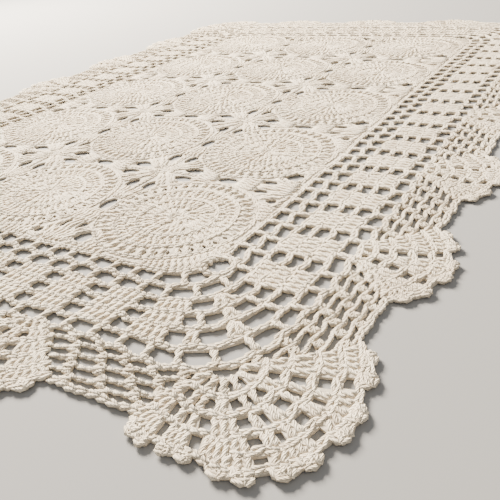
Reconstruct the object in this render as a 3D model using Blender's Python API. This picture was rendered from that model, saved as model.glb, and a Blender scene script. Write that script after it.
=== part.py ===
"""A crochet table runner, lying flat.

Fifteen round medallions are joined by star fillers. Filet and block rounds, a net of chain
loops and an edging of fans run round them. It is one flat piece of lace, in metres, +Z up,
with the origin under its middle. X runs across the runner and Y along it. The pattern is
laid out in medallion widths, and MEDALLION turns them into metres.
"""
import bpy
import numpy as np
from mathutils.geometry import delaunay_2d_cdt

# Size of the work, in metres
MEDALLION = 0.084
CLOTH = 0.0020
RIDGE = 0.0005

# The field of medallions, in medallion widths from here on
ACROSS = 3
ALONG = 5
HALF_FIELD = (ACROSS / 2, ALONG / 2)

# Raised rounds of a medallion: radius, share of RIDGE
RIDGE_ROUNDS = ((0.05, 1.0), (0.22, 1.0), (0.275, 0.0), (0.33, 1.0), (0.40, 0.0))
RIDGE_POINTS = 14

# Gaps beside a crossing of four medallions: place across and along, width, height
STAR_GAPS = ((0.205, 0.062, 0.130, 0.066), (0.066, 0.215, 0.062, 0.105))
# Gap where two medallions meet: length, width
JOINT_GAP = (0.135, 0.056)
# Gap beside a half star at the field's edge: place along and inward, size
EDGE_GAP = (0.18, 0.14, 0.095)
CORNER_GAP = (0.17, 0.01, 0.100)

# Rounds of the border, by their distance outside the field
CORNER_INSET = 0.05
BLOCK_ROUND = 0.295
SPACE_ROUND = 0.475
NET_EDGE = 0.785
# Open spaces of the block round: length, depth, and how many on a short and a long side
BLOCK_SPACE = (0.088, 0.056)
BLOCK_SPACES = (11, 19)
BLOCK_INSET = (0.13, 0.06)
# Cells of the open round: length, depth, and how many all the way round
OPEN_CELL = (0.098, 0.080)
OPEN_CELLS = 134
# Large space on a corner: distance of its middle outside the field's corner, half its width
CORNER_SPACE = (0.272, 0.058)

# Fans of the edging: distance of the middle outside the field, radius, pairs of scallops
SIDE_FAN = (0.470, 0.475, 3)
CORNER_FAN = (0.400, 0.505, 6)
# Shape of a pair of scallops: place along it and height above the fan's radius
SCALLOPS = ((0.0, -0.016), (0.20, 0.020), (0.42, 0.020), (0.50, 0.008), (0.58, 0.020), (0.80, 0.020))

# Where the hand-worked border is drawn out of line: place, shift, reach
DRAWN = (
    (1.30, -3.25, 0.00, 0.055, 0.55),
    (2.35, -1.55, 0.025, 0.02, 0.60),
    (-0.90, -3.20, 0.01, -0.02, 0.70),
    (2.30, 0.90, -0.02, 0.03, 0.70),
    (-2.20, 1.90, 0.02, -0.02, 0.80),
    (0.60, 3.20, 0.02, 0.02, 0.80),
    (1.66, -3.36, 0.093, 0.041, 0.22),
    (1.98, -3.46, 0.001, 0.098, 0.24),
    (2.38, -3.10, 0.023, -0.006, 0.30),
    (2.44, -2.60, -0.022, 0.087, 0.30),
)

COTTON = (0.72, 0.66, 0.56, 1.0)


def drawn(points):
    """Moves points by a sum of bell-shaped pulls, each strongest at its own place."""
    points = np.asarray(points, float)
    moved = points.copy()
    for x, y, shift_x, shift_y, reach in DRAWN:
        away = ((points - (x, y)) ** 2).sum(1) / reach ** 2
        moved += np.exp(-away)[:, None] * (shift_x, shift_y)
    return moved


def oval(middle, width, height, count=6):
    """A gap's outline: points at even angles on an ellipse."""
    angle = np.arange(count) * 2 * np.pi / count
    return np.stack([middle[0] + width / 2 * np.cos(angle),
                     middle[1] + height / 2 * np.sin(angle)], 1)


def sides():
    """The four sides, anticlockwise from the near one: half length, half depth, direction, outward."""
    across, along = HALF_FIELD
    return (
        (across, along, (1, 0), (0, -1)),
        (along, across, (0, 1), (1, 0)),
        (across, along, (-1, 0), (0, 1)),
        (along, across, (0, -1), (-1, 0)),
    )


def on_side(side, along, out):
    """A place given by its distance along a side from the middle, and outside the field."""
    _, depth, direction, outward = side
    along = np.asarray(along, float)[..., None]
    out = np.asarray(out, float)[..., None]
    return along * direction + (depth + out) * outward


def on_round(share, out):
    """Place and direction at a share of the way along a round: straight sides, round corners."""
    across, along = HALF_FIELD
    radius = out - CORNER_INSET
    straight = np.array([2 * (across + CORNER_INSET), 2 * (along + CORNER_INSET)] * 2)
    arc = radius * np.pi / 2
    left = (share % 1.0) * (straight.sum() + 4 * arc)
    for number, side in enumerate(sides()):
        half = straight[number] / 2
        turn = number * np.pi / 2
        if left <= straight[number]:
            return on_side(side, left - half, out), turn
        left -= straight[number]
        if left <= arc:
            swing = left / radius
            middle = on_side(side, half, CORNER_INSET)
            angle = turn - np.pi / 2 + swing
            return middle + radius * np.array([np.cos(angle), np.sin(angle)]), turn + swing
        left -= arc
    return on_side(sides()[0], -straight[0] / 2, out), 0.0


def cell(middle, turn, length, depth):
    """A four-cornered gap, its length along the direction given by turn."""
    ahead = np.array([np.cos(turn), np.sin(turn)]) * length / 2
    beside = np.array([-np.sin(turn), np.cos(turn)]) * depth / 2
    return np.array([middle - ahead - beside, middle + ahead - beside,
                     middle + ahead + beside, middle - ahead + beside])


def field_gaps():
    """The gaps between the medallions: joints, stars, and half stars at the field's edge."""
    gaps = []
    for column in range(ACROSS):
        for row in range(1, ALONG):
            gaps.append(oval((column + 0.5, row), *JOINT_GAP))
    for column in range(1, ACROSS):
        for row in range(ALONG):
            gaps.append(oval((column, row + 0.5), *reversed(JOINT_GAP)))
        for row in range(1, ALONG):
            for x, y, width, height in STAR_GAPS:
                for right in (-1, 1):
                    for up in (-1, 1):
                        gaps.append(oval((column + right * x, row + up * y), width, height))
    return [gap - HALF_FIELD for gap in gaps]


def edge_gaps():
    """The large gap after each half star and after each corner, going anticlockwise."""
    gaps = []
    for side in sides():
        half = side[0]
        along, inward, size = EDGE_GAP
        for join in np.arange(1 - half, half - 0.5):
            gaps.append(oval(on_side(side, join + along, -inward), size, size))
        along, inward, size = CORNER_GAP
        gaps.append(oval(on_side(side, along - half, -inward), size, size))
    return gaps


def border_gaps():
    """The open spaces of the block round, the cells of the open round, and the corner spaces."""
    gaps = []
    for number, side in enumerate(sides()):
        reach = side[0] - BLOCK_INSET[number % 2]
        turn = number * np.pi / 2
        for along in np.linspace(-reach, reach, BLOCK_SPACES[number % 2]):
            gaps.append(cell(on_side(side, along, BLOCK_ROUND), turn, *BLOCK_SPACE))
        out, half = CORNER_SPACE
        gaps.append(oval(on_side(side, side[0] + out, out), 2 * half, 2 * half, 4))
    for number in range(OPEN_CELLS):
        middle, turn = on_round((number + 0.5) / OPEN_CELLS, SPACE_ROUND)
        gaps.append(cell(middle, turn, *OPEN_CELL))
    return gaps


def fan_arc(middle, radius, pairs, start, end):
    """The scalloped rim of a fan: an arc of angles from start to end with blunt teeth on it."""
    points = []
    pitch = (end - start) / pairs
    for number in range(pairs):
        for share, height in SCALLOPS:
            angle = start + (number + share) * pitch
            points.append(middle + (radius + height) * np.array([np.cos(angle), np.sin(angle)]))
    last = radius + SCALLOPS[0][1]
    points.append(middle + last * np.array([np.cos(end), np.sin(end)]))
    return points


def rim():
    """The outer edge, anticlockwise: the fans of each side, then the fan on its corner."""
    points = []
    out, radius, pairs = SIDE_FAN
    corner_out, corner_radius, corner_pairs = CORNER_FAN
    reach = np.arccos((NET_EDGE - out) / (radius + SCALLOPS[0][1]))
    corner_reach = np.arccos((NET_EDGE - corner_out) / (corner_radius + SCALLOPS[0][1]))
    for number, side in enumerate(sides()):
        half = side[0]
        outward = (number - 1) * np.pi / 2
        for along in np.arange(0.5 - half, half):
            points += fan_arc(on_side(side, along, out), radius, pairs,
                              outward - reach, outward + reach)
        points += fan_arc(on_side(side, half + corner_out, corner_out), corner_radius,
                          corner_pairs, outward - corner_reach,
                          outward + np.pi / 2 + corner_reach)
    return np.array(points)


def ridge_points():
    """Points on the medallions' rounds, with the share of RIDGE that each is raised by."""
    points, raised = [], []
    angle = np.arange(RIDGE_POINTS) * 2 * np.pi / RIDGE_POINTS
    for column in range(ACROSS):
        for row in range(ALONG):
            middle = np.array((column + 0.5, row + 0.5)) - HALF_FIELD
            for number, (radius, share) in enumerate(RIDGE_ROUNDS):
                turned = angle + number % 2 * np.pi / RIDGE_POINTS
                points.append(middle + radius * np.stack([np.cos(turned), np.sin(turned)], 1))
                raised.append(np.full(RIDGE_POINTS, share))
    return np.concatenate(points), np.concatenate(raised)


def runner_mesh():
    """The lace as one closed sheet: a flat underside, a top with raised rounds, and walls."""
    loops = [rim()] + field_gaps() + edge_gaps() + border_gaps()
    inner, raised = ridge_points()
    edges, start = [], 0
    for loop in loops:
        numbers = start + np.arange(len(loop))
        edges += list(zip(numbers.tolist(), np.roll(numbers, -1).tolist()))
        start += len(loop)
    flat = drawn(np.concatenate(loops + [inner]))
    rise = np.concatenate([np.zeros(start), raised])
    edge = flat[:len(loops[0])]
    flat = (flat - (edge.min(0) + edge.max(0)) / 2) * MEDALLION

    found = delaunay_2d_cdt([tuple(p) for p in flat], edges, [], 1, 1e-9)
    corners = np.array([tuple(p) for p in found[0]])
    source = np.array([olds[0] for olds in found[3]])
    triangles = np.array([tuple(face) for face in found[2]])
    triangles = triangles[~inside_a_gap(corners[triangles].mean(1), loops[1:], flat, len(loops[0]))]

    count = len(corners)
    top = np.column_stack([corners, CLOTH + RIDGE * rise[source]])
    under = np.column_stack([corners, np.zeros(count)])
    arrows = np.concatenate([triangles[:, (0, 1)], triangles[:, (1, 2)], triangles[:, (2, 0)]])
    inward = {(a, b) for a, b in arrows.tolist()}
    open_edges = np.array([(a, b) for a, b in inward if (b, a) not in inward])
    open_edges = open_edges[np.lexsort(open_edges.T)]
    a, b = open_edges.T
    walls = np.stack([b, a, a + count, b + count], 1)
    faces = triangles.tolist() + (triangles[:, ::-1] + count).tolist() + walls.tolist()
    mesh = bpy.data.meshes.new("crochet_runner")
    mesh.from_pydata(np.concatenate([top, under]).tolist(), [], faces)
    mesh.validate()
    mesh.update()
    return mesh


def inside_a_gap(points, gaps, flat, start):
    """Which points lie inside one of the gaps, by counting the edges that a ray to the right meets."""
    inside = np.zeros(len(points), bool)
    for gap in gaps:
        ring = flat[start:start + len(gap)]
        start += len(gap)
        near = np.flatnonzero(((points >= ring.min(0)) & (points <= ring.max(0))).all(1))
        here, there = ring, np.roll(ring, -1, 0)
        for number in near:
            x, y = points[number]
            spans = (here[:, 1] > y) != (there[:, 1] > y)
            rise = np.where(spans, there[:, 1] - here[:, 1], 1.0)
            meets = here[:, 0] + (y - here[:, 1]) / rise * (there[:, 0] - here[:, 0])
            inside[number] |= (spans & (meets > x)).sum() % 2 == 1
    return inside


def cotton():
    """Undyed cotton yarn: pale warm beige, matt."""
    material = bpy.data.materials.new("cotton_yarn")
    material.use_nodes = True
    shader = material.node_tree.nodes["Principled BSDF"]
    shader.inputs["Base Color"].default_value = COTTON
    shader.inputs["Roughness"].default_value = 0.9
    shader.inputs["Metallic"].default_value = 0.0
    return material


def main():
    for thing in list(bpy.data.objects):
        bpy.data.objects.remove(thing, do_unlink=True)
    mesh = runner_mesh()
    mesh.materials.append(cotton())
    runner = bpy.data.objects.new("crochet_runner", mesh)
    bpy.context.scene.collection.objects.link(runner)


main()
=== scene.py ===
"""Looks of a crochet table runner: every stitch is worked from strands of cotton yarn.

The pattern is laid out in medallion widths, with the origin in the middle of the field, and
work() turns it into metres. Heights are in medallion widths too.
"""
import bpy
import numpy as np
from mathutils import Matrix
from mathutils.geometry import delaunay_2d_cdt


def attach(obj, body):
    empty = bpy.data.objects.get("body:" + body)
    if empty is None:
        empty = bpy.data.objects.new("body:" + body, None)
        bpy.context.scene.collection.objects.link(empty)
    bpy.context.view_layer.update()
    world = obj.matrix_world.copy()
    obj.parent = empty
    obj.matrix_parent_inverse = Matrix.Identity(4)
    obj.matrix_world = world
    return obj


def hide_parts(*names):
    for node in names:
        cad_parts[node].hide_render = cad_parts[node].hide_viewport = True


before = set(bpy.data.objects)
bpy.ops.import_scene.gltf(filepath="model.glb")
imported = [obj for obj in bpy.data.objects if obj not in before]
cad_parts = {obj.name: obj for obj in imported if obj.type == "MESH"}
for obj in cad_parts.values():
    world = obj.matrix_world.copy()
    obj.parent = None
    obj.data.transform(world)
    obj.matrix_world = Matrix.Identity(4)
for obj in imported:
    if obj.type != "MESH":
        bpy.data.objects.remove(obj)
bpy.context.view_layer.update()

# The work as it lies
MEDALLION = 0.084
ACROSS = 3
ALONG = 5
HALF_FIELD = np.array((ACROSS / 2, ALONG / 2))

# Where the hand-worked border is drawn out of line: place, shift, reach
DRAWN = (
    (1.30, -3.25, 0.00, 0.055, 0.55),
    (2.35, -1.55, 0.025, 0.02, 0.60),
    (-0.90, -3.20, 0.01, -0.02, 0.70),
    (2.30, 0.90, -0.02, 0.03, 0.70),
    (-2.20, 1.90, 0.02, -0.02, 0.80),
    (0.60, 3.20, 0.02, 0.02, 0.80),
    (1.66, -3.36, 0.093, 0.041, 0.22),
    (1.98, -3.46, 0.001, 0.098, 0.24),
    (2.38, -3.10, 0.023, -0.006, 0.30),
    (2.44, -2.60, -0.022, 0.087, 0.30),
)

# How far the hand-worked stitches wander: waves across and along, phase, shift
WAVES = (
    (6.1, 2.3, 0.4, 0.0042, 0.0030),
    (-3.7, 7.9, 1.9, 0.0035, -0.0040),
    (11.3, 9.1, 3.1, -0.0026, 0.0028),
    (14.9, -12.7, 5.0, 0.0022, 0.0022),
)

# Yarn: strand radius in chains, in posts, in the fans' posts, in the net and under a chain
YARN = 0.0094
POST_YARN = 0.0110
FAN_YARN = 0.0100
NET_YARN = 0.0078
CORE_YARN = 0.0080
# Height that the yarn keeps under its own weight, and a strand's thickness at its ends and between
PRESSED = 0.86
LEG_SHAPE = (0.62, 1.10)
POST_SHAPE = (0.75, 1.0)

# Chains: length and width of a stitch, width in rings and arms, and three points of a leg
CHAIN_PITCH = 0.0375
CHAIN_WIDTH = 0.0215
RING_WIDTH = 0.022
LEG_ALONG = np.array((-0.60, 0.10, 1.02))
LEG_ACROSS = np.array((0.06, 0.46, 0.10))
LEG_HEIGHT = np.array((0.0090, 0.0155, 0.0200))
LINE_LIFT = 0.001
CORE_HEIGHT = 0.0090

# Posts: distance between the two strands, height of their middle, rise of the twist, points
POST_WIDTH = 0.0190
FAN_POST_WIDTH = 0.0165
MIDDLE_HEIGHT = 0.0160
TWIST_HEIGHT = 0.0045
POST_STEPS = 5

# Unevenness of hand work: of a post's ends, a chain's places, heights, places in a round, widths
UNEVEN = 0.0022
CHAIN_UNEVEN = UNEVEN * 0.6
HEIGHT_UNEVEN = UNEVEN * 0.5
PLACE_UNEVEN = UNEVEN * 1.5
WIDTH_UNEVEN = 0.09

# Medallion: radius of the heart, then each round's radius where its posts start and end, posts
HEART = 0.030
MEDALLION_ROUNDS = (
    (0.040, 0.120, 14), (0.112, 0.215, 30), (0.212, 0.275, 43), (0.270, 0.335, 52),
    (0.338, 0.428, 40),
)
MEDALLION_LEAN = 0.010
# Turn of the first medallion, and from one to the next along and across
MEDALLION_TURN = (0.4, 0.7, 0.3)
# Raised rings and their lift, the rim, and the last round's slits: radius, half length, half width
MEDALLION_RIDGES = (0.218, 0.333)
RIDGE_LIFT = 0.0035
MEDALLION_RIM = 0.438
RIM_SLITS = (0.392, 0.024, 0.0125)

# Star: rings (radius, points, width), arms (from, to, points) and an arm's length of stitch
STAR_RINGS = ((0.040, 36, 0.026), (0.014, 12, 0.018))
STAR_ARM = (0.04, 0.285, 12)
ARM_PITCH = 0.032
# Five posts at an arm's end, and two pairs between arms: radius and spread at base and at tip
ARM_POSTS = ((0.270, 0.036), (0.422, 0.016))
PAIR_POSTS = ((0.055, np.radians(26)), (0.252, np.radians(13.5)))
PAIR_PLACES = (-1, -0.45, 0.45, 1)

# Gaps of the field: beside a crossing (place, size), where two medallions meet (size), beside a
# half star (place, diameter; place, size of each slit) and in the field's corners
STAR_GAPS = ((0.205, 0.064, 0.156, 0.086), (0.068, 0.215, 0.078, 0.130))
JOINT_GAP = (0.152, 0.082)
EDGE_GAP = (0.174, -0.135, 0.124)
EDGE_SLITS = ((0.064, -0.235, 0.062, 0.110), (-0.062, -0.230, 0.058, 0.100),
              (-0.155, -0.115, 0.066, 0.070))
CORNER_GAP = (0.17, -0.01, 0.112)
# Distance of the chain round a large gap, and room that posts leave for it
GAP_CHAIN = 0.017
GAP_ROOM = 0.066
# Posts between a medallion and the border: places from its middle, ends from its rim and the edge
EDGE_POSTS = np.linspace(0.13, 0.30, 6)
EDGE_ENDS = (0.012, -0.028)
# Chain beside a half star: first and last place along the edge, points, place outside
EDGE_CHAIN = (0.10, 0.25, 5, -0.058)
# Corner filler: middle, radius where posts start, radius where they end from the medallion's
# middle, half angle, posts
CORNER_FILLER = (-0.275, 0.250, 0.458, 64, 16)

# Middle of a round's corner arc, outside the field's corner: least, at which round, growth
INSET = (0.05, 0.475, 0.66)
# Rounds of the border: chain lines by their distance outside the field
LINES = (-0.018, 0.077, 0.170, 0.253, 0.340, 0.435, 0.525)
# Which rounds are block rounds, and the posts of the first, second and last round
BLOCK_LEVELS = (2, 3, 4)
MESH_POSTS = (118, 118, 134)
# Open spaces of a block round: number on a short and a long side, how far the last is from the
# side's end, half length
SPACES = (11, 19)
SPACE_INSET = (0.13, 0.06)
SPACE_HALF = 0.0445
# Half a post's width, distance between posts, most posts in a V, how far its bases are drawn in
# and its tips are spread
POST_HALF = 0.0190
BLOCK_PITCH = 0.0360
V_POSTS = 4
V_PINCH = 0.75
V_SPREAD = 0.15
# How a chain line sways: at the cells of a mesh round, elsewhere (waves, height), and over spaces
SAG = 0.009
WAVY = (149, 0.004)
BOW = 0.014
BOW_MEAN = 0.4
# How much wider and less deep a cell is than its room
CELL_EASE = (0.010, 0.005)
# Spaces on a corner of each block round: degrees along the arc, half length
CORNER_SPACES = (
    ((42, 0.038),), ((31, 0.026), (47, 0.032), (72, 0.034)), ((21, 0.036), (45, 0.045), (75, 0.060)),
)

# Net: rows and their depth, loop length and points, sway of a row and its mean
NET_ROWS = 5
NET_DEPTH = 0.0505
NET_LOOP = 0.136
LOOP_POINTS = 12
NET_SWAY = 0.0100
NET_MEAN = 0.7
# Chain of the net: width, length of stitch, lift; width of the last row
NET_CHAIN = (0.0100, 0.034, -0.002)
LAST_CHAIN = 0.024
# Tie between two rows: where it starts and ends, width, yarn, lift, points
TIE_ENDS = (-0.024, 0.020)
NET_TIE = (0.040, 0.0115, -0.003, 4)

# Fans: distance of the middle outside the field, half angle, picots; then the radii of each row
# of posts, and the angles of the lines of spaces
SIDE_FAN = (0.470, np.radians(47), 6)
SIDE_ROWS = ((0.060, 0.125), (0.125, 0.205), (0.205, 0.290), (0.290, 0.370), (0.370, 0.435))
SIDE_SPACES = np.radians((-16, 16))
CORNER_FAN = (0.400, np.radians(76), 12)
CORNER_ROWS = ((0.052, 0.140), (0.140, 0.230), (0.230, 0.320), (0.320, 0.400), (0.400, 0.468))
# The near right fan has fewer rows on its left, up to an angle
PULLED_ROWS = ((0.052, 0.140), (0.140, 0.235), (0.235, 0.345), (0.345, 0.468))
PULLED_TO = np.radians(-14)
CORNER_SPACES_AT = np.radians((-56, -28, 0, 28, 56))
CORNER_SLITS = np.radians((-42, -14, 14, 42))
# Width of a space, how far it stops short of its row, and how much wider its hole is cut
FAN_SPACE = (0.034, 0.010, 0.006)
FIRST_SPACE = (0.012, 0.016, 0.006)
SLIT = (0.016, 0.016, 0.003)
# How far a space strays, and the distance between posts
STRAY = np.radians(2.4)
FAN_PITCH = 0.036
# Posts of a shell: how far they start and stop inside their row, and how near their bases stand
ROW_ENDS = (0.003, -0.009)
SHELL_PINCH = 0.72
# Chain over a row: how far outside it, dip at a space and its reach, lift
ROW_CHAIN = (0.003, 0.014, 0.03, 0.0015)
# Picot: half width and depth, distance outside the last row, share that two draw together
PICOT = (0.027, 0.032)
PICOT_OUT = 0.004
PAIRED = 0.10
# Chain of a picot: width, length of stitch, lift; its posts: start, length, places, spread
PICOT_CHAIN = (0.021, 0.030, 0.002)
PICOT_POSTS = (-0.006, 0.034, 0.7, 0.5)

# The sheet under the stitches, coloured darker as painted shade between the strands: lowest and highest
# level, outer edge of the border's part
GROUND = (0.0045, 0.0155)
GROUND_EDGE = 0.532
# A fan's part: how far it goes beyond the last row, radius of its hub, overlap with the border's
FAN_GROUND = (0.008, 0.055, 0.005)

# Outer edge: a fan's radius and pairs of scallops, the net's edge, places and heights in a pair
SIDE_EDGE = (0.475, 3)
CORNER_EDGE = (0.505, 6)
NET_EDGE = 0.785
SCALLOPS = ((0.0, -0.016), (0.20, 0.020), (0.42, 0.020), (0.50, 0.008), (0.58, 0.020), (0.80, 0.020))

# Cotton: turns of the ply along the yarn, plies, shares of a strand's own tone and of the painted light and
# shade of the plies (ridges lighter, hollows darker)
PLY_TURNS = 3.4
PLIES = 6
TONE_SHARE = 0.16
GROOVE_SHADE_SHARE = 0.10
COLOUR_ENDS = (0.15, 0.85)

# Camera: the angles that it faces, its place, width of its sensor, focal length
FACING = np.radians((-34.70, 29.89, -6.508))
CAMERA = (2.9266, -4.1333, 1.400)
SENSOR = 36.0
LENS = 588.87 * SENSOR / 500.0
# Studio, in metres: half width of the floor, then each light's name, place, size and power
FLOOR = 6.0
LIGHTS = (("window", (-0.95, 0.35, 0.75), 0.5, 150.0), ("fill", (0.9, -0.6, 1.1), 1.0, 6.0))
LIGHT_COLOUR = (1.0, 0.90, 0.76)
FLOOR_COLOUR = (0.28, 0.28, 0.28, 1)
ROOM_COLOUR = (0.96, 0.98, 1.0, 1)
ROOM_LIGHT = 0.42

RNG = np.random.default_rng(15)


def turned(angle):
    """Unit vectors at these angles from +X."""
    return np.stack([np.cos(angle), np.sin(angle)], -1)


def drawn(points):
    """Adds bell-shaped pulls, exp(-distance squared / reach squared) times a shift, to points."""
    moved = points.copy()
    for x, y, shift_x, shift_y, reach in DRAWN:
        away = ((points - (x, y)) ** 2).sum(-1) / reach ** 2
        moved += np.exp(-away)[..., None] * (shift_x, shift_y)
    return moved


def worked(points):
    """Where a stitch really lies: drawn, then moved by sine waves across the work."""
    moved = drawn(points)
    for across, along, phase, shift_x, shift_y in WAVES:
        wave = np.sin(points[..., 0] * across + points[..., 1] * along + phase)
        moved += wave[..., None] * (shift_x, shift_y)
    return moved


def inset(out):
    """How far outside the field's corner a round's corner arc has its middle: a + c (out - b)."""
    least, at, growth = INSET
    return least + growth * (out - at)


def on_side(number, along, out):
    """A place along a side from its middle, and outside the field: along times the side's
    direction + (depth + out) times its outward. Sides go anticlockwise from the near one."""
    turn = np.asarray(number) * np.pi / 2
    depth = HALF_FIELD[1 - np.asarray(number) % 2]
    along, out = np.asarray(along, float), np.asarray(out, float)
    return along[..., None] * turned(turn) + (depth + out)[..., None] * turned(turn - np.pi / 2)


def round_lengths(out):
    """Lengths of a round's eight pieces: a straight, then a quarter arc, four times."""
    straight = 2 * (HALF_FIELD[[0, 1, 0, 1]] + inset(out))
    arc = (out - inset(out)) * np.pi / 2
    return np.column_stack([straight, np.full(4, arc)]).ravel()


def on_round(reach, out):
    """Place and direction at a length along a round, from the near side's left end:
    straight sides joined by quarter circles of radius out - inset."""
    lengths = round_lengths(out)
    ends = np.concatenate([[0], np.cumsum(lengths)])
    reach = np.asarray(reach, float) % ends[-1]
    piece = np.searchsorted(ends[1:], reach, side="right").clip(0, 7)
    left, number = reach - ends[piece], piece // 2
    turn, radius, centre = number * np.pi / 2, out - inset(out), inset(out)
    half = HALF_FIELD[number % 2]
    straight = on_side(number, left - lengths[2 * number] / 2, out)
    swing = left / radius
    arc = on_side(number, half + centre, centre) + radius * turned(turn - np.pi / 2 + swing)
    bend = (piece % 2 == 1)
    return np.where(bend[:, None], arc, straight), np.where(bend, turn + swing, turn)


def stations(line, closed, pitch):
    """Places and directions at even steps of about pitch along a line of points."""
    if closed:
        line = np.concatenate([line, line[:1]])
    reach = np.concatenate([[0], np.cumsum(np.linalg.norm(np.diff(line, axis=0), axis=1))])
    count = max(2, int(round(reach[-1] / pitch)))
    step = reach[-1] / count
    at = (np.arange(count) + 0.5) * step
    ends = [np.stack([np.interp(at + d, reach, line[:, k]) for k in (0, 1)], 1)
            for d in (-step / 3, step / 3)]
    ahead = ends[1] - ends[0]
    place = np.stack([np.interp(at, reach, line[:, k]) for k in (0, 1)], 1)
    return place, ahead / np.linalg.norm(ahead, axis=1, keepdims=True), step


def braid(line, closed=True, width=CHAIN_WIDTH, keep=None, lift=0.0, pitch=CHAIN_PITCH, yarn=YARN):
    """A chain of stitches, two legs to a stitch. With a along the line in stitches and v across
    it in widths, a leg runs out from the middle of the last stitch, bulges at v near 0.5 and
    closes on the middle of the next, rising as it goes."""
    place, ahead, step = stations(line, closed, pitch)
    if keep is not None:
        kept = keep(place)
        place, ahead = place[kept], ahead[kept]
    place = place + RNG.normal(0, CHAIN_UNEVEN, place.shape)
    beside = np.stack([-ahead[:, 1], ahead[:, 0]], 1)
    legs = []
    for hand in (-1, 1):
        across = hand * LEG_ACROSS * width * RNG.normal(1, WIDTH_UNEVEN, (len(place), 1))
        flat = (place[:, None] + ahead[:, None] * (LEG_ALONG * step)[None, :, None]
                + beside[:, None] * across[..., None])
        height = np.broadcast_to(LEG_HEIGHT + lift, flat.shape[:2])
        height = height + RNG.normal(0, HEIGHT_UNEVEN, (len(place), 1))
        legs.append(np.concatenate([flat, height[..., None]], 2))
    return np.concatenate(legs), yarn


def core(line):
    """The strand that runs along under a chain of stitches: the line itself, at one height."""
    line = np.concatenate([line, line[:1]])
    return np.column_stack([line, np.full(len(line), CORE_HEIGHT)])[None], CORE_YARN


def posts(base, tip, width=POST_WIDTH, turns=1.0, lift=0.0, steps=POST_STEPS, yarn=POST_YARN):
    """Upright stitches as twisted pairs. At a share t from base to tip a strand stands
    cos(angle) half widths aside and sin(angle) up, angle = start + 2 pi turns t, and its
    fellow is half a turn behind."""
    base = base + RNG.normal(0, UNEVEN, base.shape)
    tip = tip + RNG.normal(0, UNEVEN, tip.shape)
    ahead = tip - base
    unit = ahead / np.linalg.norm(ahead, axis=1, keepdims=True)
    beside = np.stack([-unit[:, 1], unit[:, 0]], 1)
    share = np.linspace(0, 1, steps)
    strands = []
    for start in (-0.5 * np.pi, 0.5 * np.pi):
        angle = start + 2 * np.pi * turns * share
        flat = (base[:, None] + ahead[:, None] * share[None, :, None]
                + beside[:, None] * (np.cos(angle) * width / 2)[None, :, None])
        height = np.broadcast_to(MIDDLE_HEIGHT + lift + TWIST_HEIGHT * np.sin(angle), flat.shape[:2])
        height = height + RNG.normal(0, HEIGHT_UNEVEN, (len(base), 1))
        strands.append(np.concatenate([flat, height[..., None]], 2))
    return np.concatenate(strands), yarn


def ring(middle, radius, count=36):
    """Points on a circle: middle + radius (cos, sin) of even angles."""
    return middle + radius * turned(np.arange(count) * 2 * np.pi / count)


def tubes(paths, radius, sides=4):
    """A ring of points carried along each path: path + radius (cos a side + sin a up), drawn in
    at both ends. side is level and square to the path, and up is square to both."""
    count, steps = paths.shape[:2]
    ahead = np.gradient(paths, axis=1)
    ahead /= np.linalg.norm(ahead, axis=2, keepdims=True)
    side = np.cross(ahead, (0.0, 0.0, 1.0))
    side /= np.maximum(np.linalg.norm(side, axis=2, keepdims=True), 1e-6)
    up = np.cross(side, ahead)
    angle = (np.arange(sides) + 0.5) * 2 * np.pi / sides
    thick = np.full(steps, radius)
    ends, between = LEG_SHAPE if steps == len(LEG_ALONG) else POST_SHAPE
    thick[[0, -1]] *= ends
    thick[1:-1] *= between
    spokes = (np.cos(angle)[:, None] * side[:, :, None, :]
              + np.sin(angle)[:, None] * up[:, :, None, :])
    points = paths[:, :, None, :] + spokes * thick[None, :, None, None]

    number = np.arange(count * steps * sides).reshape(count, steps, sides)
    here, there = number[:, :-1], number[:, 1:]
    quads = np.stack([here, there, np.roll(there, -1, 2), np.roll(here, -1, 2)], -1)
    reach = np.concatenate([np.zeros((count, 1)), np.cumsum(
        np.linalg.norm(np.diff(paths, axis=1), axis=2), axis=1)], 1) / radius
    reach += RNG.uniform(0, 10, (count, 1))
    low, high = reach[:, :-1, None], reach[:, 1:, None]
    round_it = np.arange(sides) / sides
    first = np.broadcast_to(round_it, quads.shape[:3])
    along = np.stack(np.broadcast_arrays(low, high, high, low), -1)
    along = np.broadcast_to(along, quads.shape)
    about = np.stack([first, first, first + 1 / sides, first + 1 / sides], -1)
    caps = np.concatenate([number[:, 0], number[:, -1, ::-1]]).reshape(-1, sides)
    return {
        "points": points.reshape(-1, 3),
        "quads": quads.reshape(-1, 4),
        "uv": np.stack([along, about], -1).reshape(-1, 2),
        "caps": caps,
        "tone": np.repeat(RNG.normal(0, 1, count), steps * sides),
    }


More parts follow.
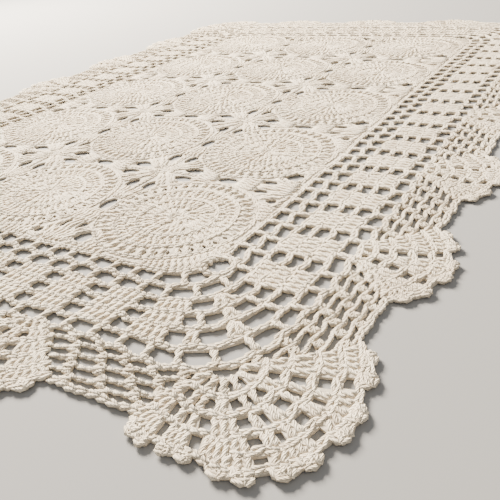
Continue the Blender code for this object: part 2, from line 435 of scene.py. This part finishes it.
def work(name, strands, sides=4):
    """Makes one piece from groups of strand paths and puts it in its place in metres."""
    groups = []
    for paths, yarn in strands:
        flat = worked(paths[..., :2]) - MIDDLE
        paths = np.concatenate([flat, paths[..., 2:]], 2) * MEDALLION
        groups.append(tubes(paths, yarn * MEDALLION, sides))
    starts = np.cumsum([0] + [len(g["points"]) for g in groups])
    points = np.concatenate([g["points"] for g in groups]) * (1, 1, PRESSED)
    points[:, 2] = points[:, 2].clip(0)
    quads = np.concatenate([g["quads"] + s for g, s in zip(groups, starts)])
    caps = np.concatenate([g["caps"] + s for g, s in zip(groups, starts)])
    corners = np.concatenate([quads.ravel(), caps.ravel()])
    sizes = np.concatenate([np.full(len(quads), 4), np.full(len(caps), sides)])
    mesh = bpy.data.meshes.new(name)
    mesh.vertices.add(len(points))
    mesh.vertices.foreach_set("co", points.ravel())
    mesh.loops.add(len(corners))
    mesh.loops.foreach_set("vertex_index", corners.astype(np.int32))
    mesh.polygons.add(len(sizes))
    mesh.polygons.foreach_set("loop_start", np.concatenate([[0], np.cumsum(sizes)[:-1]]).astype(np.int32))
    mesh.polygons.foreach_set("use_smooth", np.ones(len(sizes), bool))
    uv = np.concatenate([g["uv"] for g in groups] + [np.zeros((caps.size, 2))])
    mesh.uv_layers.new(name="yarn").data.foreach_set("uv", uv.ravel())
    tone = mesh.attributes.new("tone", "FLOAT", "POINT")
    tone.data.foreach_set("value", np.concatenate([g["tone"] for g in groups]))
    mesh.update()
    mesh.validate()
    return finished(name, mesh, COTTON)


def placed(name, data):
    """A new object in the scene, at the origin."""
    made = bpy.data.objects.new(name, data)
    bpy.context.scene.collection.objects.link(made)
    return made


def finished(name, mesh, material):
    """A piece of the runner from its mesh: given its yarn and fixed to the runner's body."""
    piece = placed(name, mesh)
    mesh.materials.append(material)
    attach(piece, "root")
    return piece


def cotton_material(name, dark, light, plied):
    """Plied ecru cotton. Ply ridges are sin(turns u + 2 pi plies v) of the yarn's own UV, u along
    it and v round it. The same sine also paints the colour lighter on a ridge and darker between plies, as
    painted light and shade. Unplied, it is the sheet under the stitches, with lumps of noise."""
    material = bpy.data.materials.new(name)
    material.use_nodes = True
    nodes, links = material.node_tree.nodes, material.node_tree.links
    shader = nodes["Principled BSDF"]
    shader.inputs["Roughness"].default_value = 0.82
    shader.inputs["Sheen Weight"].default_value = 0.20
    shader.inputs["Sheen Roughness"].default_value = 0.5
    shader.inputs["Specular IOR Level"].default_value = 0.25

    def node(kind, **values):
        """A new node, with these values on its sockets or else on itself."""
        made = nodes.new(kind)
        for key, value in values.items():
            if key in made.inputs:
                made.inputs[key].default_value = value
            else:
                setattr(made, key, value)
        return made

    where = node("ShaderNodeTexCoord")
    uv = node("ShaderNodeUVMap", uv_map="yarn")
    split = node("ShaderNodeSeparateXYZ")
    links.new(uv.outputs["UV"], split.inputs["Vector"])
    lengthwise = node("ShaderNodeMath", operation="MULTIPLY")
    lengthwise.inputs[1].default_value = PLY_TURNS
    links.new(split.outputs["X"], lengthwise.inputs[0])
    roundwise = node("ShaderNodeMath", operation="MULTIPLY_ADD")
    roundwise.inputs[1].default_value = PLIES * 2 * np.pi
    links.new(split.outputs["Y"], roundwise.inputs[0])
    links.new(lengthwise.outputs[0], roundwise.inputs[2])
    ply = node("ShaderNodeMath", operation="SINE")
    links.new(roundwise.outputs[0], ply.inputs[0])

    fibre = node("ShaderNodeTexNoise", Scale=2600.0, Detail=3.0)
    links.new(where.outputs["Object"], fibre.inputs["Vector"])
    patch = node("ShaderNodeTexNoise", Scale=22.0, Detail=2.0)
    links.new(where.outputs["Object"], patch.inputs["Vector"])
    tone = node("ShaderNodeAttribute", attribute_name="tone")
    shade = node("ShaderNodeMath", operation="MULTIPLY_ADD")
    shade.inputs[1].default_value = TONE_SHARE
    links.new(tone.outputs["Fac"], shade.inputs[0])
    links.new(patch.outputs["Fac"], shade.inputs[2])
    if plied:
        # Ply ridges painted lighter and the hollows between plies darker: painted light and shade
        groove_shade = node("ShaderNodeMath", operation="MULTIPLY_ADD")
        groove_shade.inputs[1].default_value = GROOVE_SHADE_SHARE
        links.new(ply.outputs[0], groove_shade.inputs[0])
        links.new(shade.outputs[0], groove_shade.inputs[2])
        shade = groove_shade
    colour = node("ShaderNodeValToRGB")
    for stop, position, shown in zip(colour.color_ramp.elements, COLOUR_ENDS, (dark, light)):
        stop.position = position
        stop.color = shown
    links.new(shade.outputs[0], colour.inputs["Fac"])
    links.new(colour.outputs["Color"], shader.inputs["Base Color"])

    fuzzy = node("ShaderNodeBump", Strength=0.25, Distance=0.00012)
    links.new(fibre.outputs["Fac"], fuzzy.inputs["Height"])
    if plied:
        ridges = node("ShaderNodeBump", Strength=0.8, Distance=0.00017)
        links.new(ply.outputs[0], ridges.inputs["Height"])
        links.new(ridges.outputs["Normal"], fuzzy.inputs["Normal"])
    else:
        strands = node("ShaderNodeTexNoise", Scale=520.0, Detail=1.0)
        links.new(where.outputs["Object"], strands.inputs["Vector"])
        lumps = node("ShaderNodeBump", Strength=0.9, Distance=0.0008)
        links.new(strands.outputs["Fac"], lumps.inputs["Height"])
        links.new(lumps.outputs["Normal"], fuzzy.inputs["Normal"])
    links.new(fuzzy.outputs["Normal"], shader.inputs["Normal"])
    return material


def polygons(middle, turn, half, depth, corners=4, start=0.5):
    """A hole about each middle: points at half cos angle along turn and depth sin angle across
    it, at even angles. A hole of four corners is a rectangle of these half sizes."""
    grow = np.sqrt(2) if corners == 4 and start else 1.0
    angle = (np.arange(corners) + start) * 2 * np.pi / corners
    middle, turn = np.atleast_2d(middle), np.atleast_1d(turn)
    half = np.broadcast_to(half, len(middle))[:, None, None]
    ahead, beside = turned(turn)[:, None], turned(turn + np.pi / 2)[:, None]
    return list(middle[:, None] + ahead * half * (grow * np.cos(angle))[None, :, None]
                + beside * (grow * depth * np.sin(angle))[None, :, None])


def medallion(middle, turn):
    """Rounds of posts from the heart to the rim, with raised rings and slits in the last round."""
    strands = [braid(ring(middle, HEART), width=RING_WIDTH)]
    for number, (start, end, count) in enumerate(MEDALLION_ROUNDS):
        angle = turn * (number + 1) + np.arange(count) * 2 * np.pi / count
        lean = RNG.normal(0, MEDALLION_LEAN, count) / end
        strands.append(posts(middle + start * turned(angle), middle + end * turned(angle + lean)))
    for radius in MEDALLION_RIDGES:
        strands.append(braid(ring(middle, radius, 48), lift=RIDGE_LIFT))
    rim = ring(middle, MEDALLION_RIM, 72)
    strands += [braid(rim, lift=LINE_LIFT), core(rim)]
    radius, half, depth = RIM_SLITS
    slit = angle + np.pi / count
    HOLES.extend(polygons(middle + radius * turned(slit), slit, half, depth, start=0))
    return strands


def make_medallions():
    """Fifteen medallions on a square grid, each turned by its row and column and its own piece."""
    pieces = []
    first, along, across = MEDALLION_TURN
    for row in range(ALONG):
        for column in range(ACROSS):
            middle = np.array((column + 0.5, row + 0.5)) - HALF_FIELD
            strands = medallion(middle, first + along * row + across * column)
            pieces.append(work(f"medallion_{row + 1}_{column + 1}", strands))
    return pieces


def star(middle):
    """The filler between four medallions: a ring, four long arms that spread where they end,
    and four groups of two pairs. A post runs from one radius to another at its own angles."""
    strands = [braid(ring(middle, radius, count), width=width) for radius, count, width in STAR_RINGS]
    base, tip = [], []
    for turn in np.arange(4) * np.pi / 2:
        across = turned(turn + np.pi / 2)
        arm = np.linspace(*STAR_ARM)[:, None]
        strands.append(braid(middle + arm * turned(turn), closed=False, pitch=ARM_PITCH, width=RING_WIDTH))
        for ends, (radius, apart) in zip((base, tip), ARM_POSTS):
            ends += [middle + radius * turned(turn) + apart * offset * across for offset in (-2, -1, 0, 1, 2)]
        for ends, (radius, spread) in zip((base, tip), PAIR_POSTS):
            ends += [middle + radius * turned(turn + np.pi / 4 + spread * place) for place in PAIR_PLACES]
    for signs in ((1, 1), (1, -1), (-1, -1), (-1, 1)):
        for x, y, width, height in STAR_GAPS:
            place = middle + np.array((x, y)) * signs
            HOLES.extend(polygons(place, 0.0, width / 2, height / 2, 8))
    strands.append(posts(np.array(base), np.array(tip), turns=1.5))
    return strands


def make_stars():
    """Stars on the crossings of the grid, with a gap wherever two medallions meet."""
    strands = []
    for column in range(1, ACROSS):
        for row in range(1, ALONG):
            strands += star(np.array((column, row)) - HALF_FIELD)
    long, wide = JOINT_GAP
    for column in range(ACROSS):
        for row in range(1, ALONG):
            HOLES.extend(polygons(np.array((column + 0.5, row)) - HALF_FIELD, 0.0, long / 2, wide / 2, 8))
    for column in range(1, ACROSS):
        for row in range(ALONG):
            HOLES.extend(polygons(np.array((column, row + 0.5)) - HALF_FIELD, 0.0, wide / 2, long / 2, 8))
    return work("star_fillers", strands)


# Posts of a half star, each from and to a place along the edge and outside it
HALF_STAR = (
    (-0.015, -0.030, -0.015, -0.275), (0.015, -0.030, 0.015, -0.275),
    (0.045, -0.045, 0.112, -0.236), (0.032, -0.060, 0.058, -0.170), (0.075, -0.050, 0.125, -0.190),
    (-0.045, -0.045, -0.112, -0.236), (-0.032, -0.060, -0.058, -0.170), (-0.085, -0.070, -0.150, -0.190),
    (-0.070, -0.045, -0.240, -0.075), (-0.100, -0.060, -0.130, -0.200), (-0.190, -0.055, -0.215, -0.130),
    (-0.072, -0.270, -0.042, -0.420), (-0.036, -0.270, -0.022, -0.420), (0.000, -0.270, 0.000, -0.420),
    (0.036, -0.270, 0.022, -0.420), (0.072, -0.270, 0.042, -0.420),
)


def make_edge_fillers():
    """Half stars where two medallions meet the border, posts from each medallion's rim to the
    border, and the corner fillers, whose posts start on a circle and end on the rim."""
    strands, base, tip = [], [], []
    first, last, points, beside = EDGE_CHAIN
    place, radius, reach, spread, count = CORNER_FILLER
    for number in range(4):
        half, turn = HALF_FIELD[number % 2], number * np.pi / 2
        for join in np.arange(1 - half, half - 0.5):
            for start, start_out, end, end_out in HALF_STAR:
                base.append(on_side(number, join + start, start_out))
                tip.append(on_side(number, join + end, end_out))
            along, out, size = EDGE_GAP
            gap = on_side(number, join + along, out)
            strands.append(braid(ring(gap, size / 2 + GAP_CHAIN), width=RING_WIDTH))
            HOLES.extend(polygons(gap, 0.0, size / 2, size / 2, 8))
            for along, out, width, height in EDGE_SLITS:
                HOLES.extend(polygons(on_side(number, join + along, out), turn, width / 2, height / 2, 6))
            for hand in (-1, 1):
                line = join + hand * np.linspace(first, last, points)
                line = on_side(number, line, np.full(points, beside))
                strands.append(braid(line, closed=False))
        for hand in (-1, 1):
            for middle in np.arange(0.5 - half, half):
                if abs(middle + hand / 2) < half - 0.1:
                    rim = np.sqrt(MEDALLION_RIM ** 2 - EDGE_POSTS ** 2) - 0.5
                    base += list(on_side(number, middle + hand * EDGE_POSTS, rim + EDGE_ENDS[0]))
                    ends = np.full(len(rim), EDGE_ENDS[1])
                    tip += list(on_side(number, middle + hand * EDGE_POSTS, ends))
        along, out, size = CORNER_GAP
        gap = on_side(number, along - half, out)
        strands.append(braid(ring(gap, size / 2 + GAP_CHAIN), width=LAST_CHAIN, lift=0.004))
        HOLES.extend(polygons(gap, 0.0, size / 2, size / 2, 8))
        middle = on_side(number, half + place, place)
        heart = on_side(number, half - 0.5, -0.5)
        swing = turn - np.pi / 4 + np.radians(np.linspace(-spread, spread, count))
        start = middle + radius * turned(swing)
        away = start - heart
        base += list(start)
        tip += list(heart + reach * away / np.linalg.norm(away, axis=1, keepdims=True))
    base, tip = np.array(base), np.array(tip)
    kept = clear_of_gaps((base + tip) / 2)
    strands.append(posts(base[kept], tip[kept], turns=1.25))
    return work("edge_fillers", strands)


def clear_of_gaps(place):
    """True for places outside the large round gaps of the junctions and the corners."""
    clear = np.ones(len(place), bool)
    for number in range(4):
        half = HALF_FIELD[number % 2]
        joins = np.append(np.arange(1 - half, half - 0.5) + EDGE_GAP[0], CORNER_GAP[0] - half)
        for join in joins:
            last = join == joins[-1]
            gap = on_side(number, join, CORNER_GAP[1] if last else EDGE_GAP[1])
            clear &= np.linalg.norm(place - gap, axis=1) > GAP_ROOM
    return clear


def line_of(out, count=1600, cells=0, sag=0.0, spaces=None):
    """A whole round as a closed line of points. At a share t of its length it stands at
    out + sag cos(2 pi cells t). Over each open space, given by its middle and half length, it
    bows out by BOW exp(-distance squared / half length squared)."""
    total = round_lengths(out).sum()
    place, turn = on_round(np.arange(count) * total / count, out)
    push = sag * np.cos(2 * np.pi * cells * (np.arange(count) / count + 0.5 / max(cells, 1)))
    if spaces is not None:
        middles, halves = spaces
        away = np.linalg.norm(place[:, None] - middles[None], axis=2) / halves
        push += BOW * (np.exp(-away ** 2).sum(1) - BOW_MEAN)
    return place + push[:, None] * turned(turn - np.pi / 2)


def round_posts(low, high, reach, pinch=0.0):
    """Posts that cross a round from one chain line to the next, at lengths along its middle.
    pinch moves a post's base back along the round and its tip on by less, as in a V."""
    place, turn = on_round(reach, (low + high) / 2)
    outward = turned(turn - np.pi / 2)
    kept = clear_of_gaps(place)
    half = (high - low) / 2 * outward[kept]
    drift = (np.broadcast_to(pinch, len(place))[:, None] * turned(turn))[kept]
    return posts(place[kept] - half - drift, place[kept] + half + V_SPREAD * drift)


def space_reaches(level, corner):
    """Lengths along a block round's middle at which its open spaces lie, their half lengths, and
    the round's own length: even steps along each side, and the given degrees on each corner."""
    middle = (LINES[level] + LINES[level + 1]) / 2
    lengths = round_lengths(middle)
    starts = np.concatenate([[0], np.cumsum(lengths)])
    reaches, halves = [], []
    degrees, sizes = np.array(corner).T
    for number in range(4):
        half = HALF_FIELD[number % 2] - SPACE_INSET[number % 2]
        along = np.linspace(-half, half, SPACES[number % 2])
        swing = degrees if number % 2 == 0 else 90 - degrees
        reaches.append(starts[2 * number] + lengths[2 * number] / 2 + along)
        reaches.append(starts[2 * number + 1] + swing / 90 * lengths[2 * number + 1])
        halves += [np.full(len(along), SPACE_HALF), sizes]
    reaches, halves = np.concatenate(reaches), np.concatenate(halves)
    order = np.argsort(reaches)
    return reaches[order], halves[order], lengths.sum()


def block_cells(level):
    """A block round's open spaces with their half lengths, and the posts between them at even
    steps. A group of few posts is a V: their bases are drawn in, which widens the spaces there."""
    spaces, halves, total = space_reaches(level, CORNER_SPACES[BLOCK_LEVELS.index(level)])
    spaces = spaces + RNG.normal(0, PLACE_UNEVEN, len(spaces))
    reach, pinch, splay = [], [], []
    ends = np.append(spaces[1:] - halves[1:], spaces[0] + total - halves[0])
    for here, there in zip(spaces + halves, ends):
        first = here + POST_HALF
        room = there - POST_HALF - first
        count = max(1, int(round(room / BLOCK_PITCH)) + 1)
        reach.append(first + room * (np.arange(count) + 0.5 * (count == 1)) / max(count - 1, 1))
        narrow = V_PINCH * (count <= V_POSTS)
        pinch.append(narrow * (reach[-1] - first - room / 2))
        splay.append(narrow * max(room, 0) / 2)
    return spaces, halves, np.concatenate(reach), np.concatenate(pinch), np.array(splay)


def mesh_cells(level):
    """A mesh round's cells with their half length, and one post between two cells, at even steps."""
    number = MESH_POSTS[min(level, 2)]
    total = round_lengths((LINES[level] + LINES[level + 1]) / 2).sum()
    reach = (np.arange(number) + 0.5 * (level == 1)) * total / number
    reach = reach + RNG.normal(0, PLACE_UNEVEN, number)
    return (reach + np.append(reach[1:], reach[0] + total)) / 2, total / number / 2, reach


def make_border():
    """Seven chain lines and the mesh and block rounds between them, each round its own piece. A
    cell is a hole with four corners, wider at its base where the posts beside it stand as a V."""
    pieces = []
    names = ("filet_round_1", "filet_round_2", "block_round_1", "block_round_2",
             "block_round_3", "open_round")
    wider, shallower = CELL_EASE
    for level, name in enumerate(names):
        low, high = LINES[level], LINES[level + 1]
        if level in BLOCK_LEVELS:
            spaces, halves, reach, pinch, splay = block_cells(level)
            length, after, before = halves + wider, splay, np.roll(splay, 1)
        else:
            spaces, half, reach = mesh_cells(level)
            length, pinch, after, before = half - wider, 0.0, 0.0, 0.0
        place, turn = on_round(spaces, (low + high) / 2)
        depth = (high - low) / 2 - shallower
        corners = [place + np.broadcast_to(side, len(place))[:, None] * turned(turn)
                   + rise * turned(turn - np.pi / 2)
                   for side, rise in ((length, depth), (length + after, -depth),
                                      (-length - before, -depth), (-length, depth))]
        HOLES.extend(np.stack(corners, 1))
        cells, sag = (MESH_POSTS[min(level, 2)], SAG) if level in (0, 5) else WAVY
        over = None
        if level in BLOCK_LEVELS:
            over = place + (high - low) / 2 * turned(turn - np.pi / 2), halves
        line = line_of(high, cells=cells, sag=sag, spaces=over)
        strands = [round_posts(low, high, reach, pinch), braid(line, lift=LINE_LIFT), core(line[::3])]
        if level == 0:
            strands.append(braid(line_of(low), keep=clear_of_gaps))
        pieces.append(work(name, strands))
    return pieces


def fans():
    """Each fan's middle, the angle it faces, its half angle, rows, lines of spaces, picots, and
    its parts, each with its first and last angle and its own rows."""
    made = []
    for number in range(4):
        half = HALF_FIELD[number % 2]
        outward = (number - 1) * np.pi / 2
        for along in np.arange(0.5 - half, half):
            out, spread, picots = SIDE_FAN
            made.append((on_side(number, along, out), outward, spread, SIDE_ROWS, SIDE_SPACES, picots,
                         ((-spread, spread, SIDE_ROWS),)))
        out, spread, picots = CORNER_FAN
        made.append((on_side(number, half + out, out), outward + np.pi / 4, spread,
                     CORNER_ROWS, CORNER_SPACES_AT, picots,
                     ((-spread, spread, CORNER_ROWS),) if number else
                     ((-spread, PULLED_TO, PULLED_ROWS), (PULLED_TO, spread, CORNER_ROWS))))
    return made


def clear_of_fans(place):
    """True for places that lie outside every fan."""
    clear = np.ones(len(place), bool)
    for middle, facing, spread, rows, *_ in fans():
        away = place - middle
        far = np.linalg.norm(away, axis=1)
        ahead = (away * turned(np.array(facing))).sum(1)
        inside = (far < rows[-1][1] + 0.01) & (ahead > far * np.cos(spread) - 0.004)
        clear &= ~inside
    return clear


def make_net():
    """Rows of chain outside the open round, tied to each other half a loop apart. A row's line
    stands at its level plus a little of sin squared of the way along, highest where it is tied
    to the next row."""
    strands, base, tip = [], [], []
    width, pitch, lift = NET_CHAIN
    for row in range(NET_ROWS):
        level = LINES[-1] + NET_DEPTH * (row + 1)
        total = round_lengths(level).sum()
        loops = int(round(total / NET_LOOP))
        reach = np.arange(loops * LOOP_POINTS) * total / (loops * LOOP_POINTS)
        place, turn = on_round(reach, level)
        sway = NET_SWAY * (np.sin(np.pi * (reach * loops / total + row / 2)) ** 2 - NET_MEAN)
        line = place + turned(turn - np.pi / 2) * sway[:, None]
        if row < NET_ROWS - 1:
            strands.append(braid(line, width=width, keep=clear_of_fans, lift=lift, pitch=pitch,
                                 yarn=NET_YARN))
        else:
            strands.append(braid(line, keep=clear_of_fans, width=LAST_CHAIN))
        tie = (np.arange(loops) + 0.5 * (row % 2)) * total / loops
        tie = tie + RNG.normal(0, UNEVEN, loops)
        place, turn = on_round(tie, level - NET_DEPTH / 2)
        kept = clear_of_fans(place)
        outward = turned(turn[kept] - np.pi / 2)
        base.append(place[kept] + TIE_ENDS[0] * outward)
        tip.append(place[kept] + TIE_ENDS[1] * outward)
    width, yarn, lift, steps = NET_TIE
    strands.append(posts(np.concatenate(base), np.concatenate(tip), width=width, lift=lift,
                         steps=steps, yarn=yarn))
    return work("chain_net", strands)


def shells(middle, facing, start, end, rows, columns, slits):
    """Shells of posts between two angles, that widen row by row, with lines of spaces between
    them. In a shell the posts' bases are drawn towards its own middle, so that they stand as a V.
    Over a row, the chain's radius dips by a bell curve at each space."""
    strands = []
    columns = columns[(columns > start) & (columns < end)]
    slits = slits[(slits > start) & (slits < end)]
    outside, dip, dip_reach, lift = ROW_CHAIN
    for number, (low, high) in enumerate(rows):
        base, tip, mean = [], [], (low + high) / 2
        spaces = columns + RNG.normal(0, STRAY, len(columns))
        cuts = slits if 0 < number < len(rows) - 1 else slits[:0]
        edges = np.sort(np.concatenate([[start], spaces, cuts, [end]]))
        space, short, ease = FAN_SPACE if number else FIRST_SPACE
        pinch = SHELL_PINCH if number else 1.0
        for here, there in zip(edges[:-1], edges[1:]):
            gaps = [0.0 if edge in (start, end)
                    else (SLIT[0] if edge in cuts else space) / 2 + POST_HALF for edge in (here, there)]
            first, last = here + gaps[0] / mean, there - gaps[1] / mean
            if first > last:
                first = last = (first + last) / 2
            lean = np.linspace(first, last, int(round((last - first) * high / FAN_PITCH)) + 1)
            bases = (first + last) / 2 + pinch * (lean - (first + last) / 2)
            base += list(middle + (low + ROW_ENDS[0]) * turned(facing + bases))
            tip += list(middle + (high + ROW_ENDS[1]) * turned(facing + lean))
        strands.append(posts(np.array(base), np.array(tip), width=FAN_POST_WIDTH, yarn=FAN_YARN))
        arc = np.linspace(start, end, 48)
        dips = np.exp(-((arc[:, None] - spaces[None]) * high / dip_reach) ** 2).sum(1)
        radius = high + outside - dip * dips * (number > 0)
        strands.append(braid(middle + radius[:, None] * turned(facing + arc), closed=False, lift=lift))
        for places, (width, short, ease) in ((spaces, (space, short, ease)), (cuts, SLIT)):
            if len(places):
                HOLES_OF_FANS.append(polygons(middle + mean * turned(facing + places), facing + places,
                                              (high - low) / 2 - short, width / 2 + ease))
    return strands


def fan_strands(middle, facing, spread, rows, columns, picots, parts):
    """A fan's shells, part by part, and the picots round its rim: bows of chain, half cos and
    depth sin of an angle, each over three short posts and joined in pairs."""
    strands = []
    slits = CORNER_SLITS if rows is CORNER_ROWS else CORNER_SLITS[:0]
    for start, end, levels in parts:
        strands += shells(middle, facing, start, end, levels, columns, slits)
    rim, (half, depth) = rows[-1][1] + PICOT_OUT, PICOT
    width, pitch, lift = PICOT_CHAIN
    inside, height, apart, lean_share = PICOT_POSTS
    bow = np.linspace(0, np.pi, 9)
    number = np.arange(picots)
    places = facing - spread + (number + 0.5 + PAIRED * (-1) ** number) * 2 * spread / picots
    for pair in places.reshape(-1, 2):
        over = middle + (rim + 0.6 * depth) * turned(np.linspace(*pair, 8))
        strands.append(braid(over, closed=False, lift=LINE_LIFT))
    for angle in places:
        out, beside = turned(angle), turned(angle + np.pi / 2)
        loop = middle + ((rim + depth * np.sin(bow))[:, None] * out
                         + (half * np.cos(bow))[:, None] * beside)
        strands.append(braid(loop, closed=False, width=width, pitch=pitch, lift=lift))
        lean = np.array((-apart, 0.0, apart))[:, None] * half * beside
        foot = middle + (rim + inside) * out + lean_share * lean
        strands.append(posts(foot, foot + height * out + lean_share * lean))
    return strands


def make_fans():
    """Each fan as a piece, and the outline of its part of the sheet of painted shade under the stitches: an
    arc beyond its last row, closed by the border's part of the sheet on a side and by a small arc round its
    middle on a corner."""
    pieces = []
    beyond, hub, overlap = FAN_GROUND
    for number, fan in enumerate(fans()):
        HOLES_OF_FANS.clear()
        pieces.append(work(f"fan_{number + 1}", fan_strands(*fan)))
        middle, facing, spread, rows, *_ = fan
        arc = np.linspace(-spread, spread, 26)
        outer = middle + (rows[-1][1] + beyond) * turned(facing + arc)
        if rows is SIDE_ROWS:
            near = (GROUND_EDGE + overlap - SIDE_FAN[0]) / np.cos(arc[[-1, 0]])
            inner = middle + near[:, None] * turned(facing + arc[[-1, 0]])
        else:
            inner = middle + hub * turned(facing + arc[::-5])
        SLABS.append((np.concatenate([outer, inner]), sum(HOLES_OF_FANS, [])))
    return pieces


def slab(outline, holes):
    """A flat slab within an outline, open at the holes: its points, and faces that point outward.
    The plan is cut into triangles, those inside a hole are dropped, and walls join the levels."""
    loops = [outline] + holes
    sizes = np.array([len(loop) for loop in loops])
    first = np.repeat(np.cumsum(sizes) - sizes, sizes)
    number = np.arange(sizes.sum())
    edges = np.column_stack([number, first + (number - first + 1) % np.repeat(sizes, sizes)])
    found = delaunay_2d_cdt(np.concatenate(loops).tolist(), edges.tolist(), [], 1, 1e-7)
    corners = np.array([tuple(p) for p in found[0]])
    triangles = np.array([tuple(face) for face in found[2]])
    centres = corners[triangles].mean(1)
    inside = np.zeros(len(triangles), bool)
    for hole in holes:
        near = np.flatnonzero(((centres >= hole.min(0)) & (centres <= hole.max(0))).all(1))
        along = np.roll(hole, -1, 0) - hole
        away = centres[near, None] - hole[None]
        inside[near] |= (along[:, 0] * away[..., 1] - along[:, 1] * away[..., 0] > 0).all(1)
    triangles = triangles[~inside]
    count = len(corners)
    arrows = np.concatenate([triangles[:, (0, 1)], triangles[:, (1, 2)], triangles[:, (2, 0)]])
    paired = np.isin(arrows[:, 0] * count + arrows[:, 1], arrows[:, 1] * count + arrows[:, 0])
    a, b = arrows[~paired].T
    flat = worked(corners) - MIDDLE
    points = np.concatenate([np.column_stack([flat, np.full(count, level)]) for level in GROUND[::-1]])
    walls = np.stack([b, a, a + count, b + count], 1)
    return points * MEDALLION, triangles.tolist() + (triangles[:, ::-1] + count).tolist() + walls.tolist()


def make_ground():
    """A sheet under the stitches that shows between the strands. It stands in for yarn seen deep in the work,
    and its darker colour is painted shade between the strands. It is open wherever the work is open.
    """
    total = round_lengths(GROUND_EDGE).sum()
    outline = on_round(np.arange(260) * total / 260, GROUND_EDGE)[0]
    points, faces, start = [], [], 0
    for edge, holes in [(outline, HOLES)] + SLABS:
        spots, sides = slab(edge, holes)
        points.append(spots)
        faces += [[start + corner for corner in side] for side in sides]
        start += len(spots)
    points = np.concatenate(points)
    mesh = bpy.data.meshes.new("lace_ground_painted_shade")
    mesh.from_pydata(points.tolist(), [], faces)
    mesh.validate()
    mesh.update()
    return finished("lace_ground_painted_shade", mesh, SHADED)


def rim_points():
    """The runner's outer edge as it was planned, for its middle: each fan is an arc of
    radius + height, with heights that repeat in pairs of blunt teeth."""
    points = []
    shares, heights = np.array(SCALLOPS).T
    for middle, facing, _, rows, *_ in fans():
        corner = rows is CORNER_ROWS
        out = (CORNER_FAN if corner else SIDE_FAN)[0]
        radius, pairs = CORNER_EDGE if corner else SIDE_EDGE
        reach = np.arccos((NET_EDGE - out) / (radius + heights[0])) + (np.pi / 4 if corner else 0)
        number = np.arange(pairs * len(SCALLOPS) + 1)
        share = (number // len(SCALLOPS) + shares[number % len(SCALLOPS)]) / pairs
        height = heights[number % len(SCALLOPS)]
        points.append(middle + (radius + height)[:, None] * turned(facing - reach + 2 * reach * share))
    return np.concatenate(points)


RIM = drawn(rim_points())
MIDDLE = (RIM.min(0) + RIM.max(0)) / 2
# Ecru cotton of random tone, whose ply pattern also paints light on the ridges and shade between the plies
COTTON = cotton_material("cotton_yarn_plied_painted_groove_shade", (0.70, 0.59, 0.44, 1), (0.97, 0.86, 0.67, 1), True)
# Darker colours of the sheet under the stitches: painted shade between the strands
SHADED = cotton_material("cotton_yarn_beneath_painted_shade", (0.46, 0.40, 0.31, 1), (0.64, 0.57, 0.46, 1), False)
HOLES, SLABS, HOLES_OF_FANS = [], [], []

pieces = make_medallions() + [make_stars(), make_edge_fillers()] + make_border()
pieces += [make_net()] + make_fans()
ground = make_ground()
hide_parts("crochet_runner")


def make_camera():
    """The photograph's view, from beyond the near right corner, a little turned."""
    azimuth, pitch, roll = FACING
    ahead = np.array((np.sin(azimuth) * np.cos(pitch), np.cos(azimuth) * np.cos(pitch), -np.sin(pitch)))
    right = np.array((np.cos(azimuth), -np.sin(azimuth), 0.0))
    up = np.cross(right, ahead)
    across = np.cos(roll) * right + np.sin(roll) * up
    upward = np.cos(roll) * up - np.sin(roll) * right
    place = np.array(CAMERA) * MEDALLION - np.append(MIDDLE, 0) * MEDALLION
    data = bpy.data.cameras.new("camera")
    data.sensor_width = SENSOR
    data.lens = LENS
    data.clip_start = 0.005
    camera = placed("camera", data)
    turn = Matrix(np.stack([across, upward, -ahead], 1).tolist()).to_4x4()
    camera.matrix_world = Matrix.Translation(place.tolist()) @ turn
    bpy.context.scene.camera = camera


def make_studio():
    """A pale floor, a wide soft light above and behind, and an even pale surrounding."""
    data = bpy.data.meshes.new("floor")
    data.from_pydata([(-FLOOR, -FLOOR, 0), (FLOOR, -FLOOR, 0), (FLOOR, FLOOR, 0), (-FLOOR, FLOOR, 0)],
                     [], [(0, 1, 2, 3)])
    floor = placed("floor", data)
    paint = bpy.data.materials.new("pale_floor")
    paint.use_nodes = True
    shader = paint.node_tree.nodes["Principled BSDF"]
    shader.inputs["Base Color"].default_value = FLOOR_COLOUR
    shader.inputs["Roughness"].default_value = 0.9
    data.materials.append(paint)
    for name, place, size, power in LIGHTS:
        light = bpy.data.lights.new(name, "AREA")
        light.size = size
        light.energy = power
        light.color = LIGHT_COLOUR
        lamp = placed(name, light)
        lamp.location = place
        toward = -lamp.location.copy()
        lamp.rotation_euler = toward.to_track_quat("-Z", "Y").to_euler()
    world = bpy.data.worlds.new("studio")
    world.use_nodes = True
    sky = world.node_tree.nodes["Background"]
    sky.inputs["Color"].default_value = ROOM_COLOUR
    sky.inputs["Strength"].default_value = ROOM_LIGHT
    bpy.context.scene.world = world


make_camera()
make_studio()
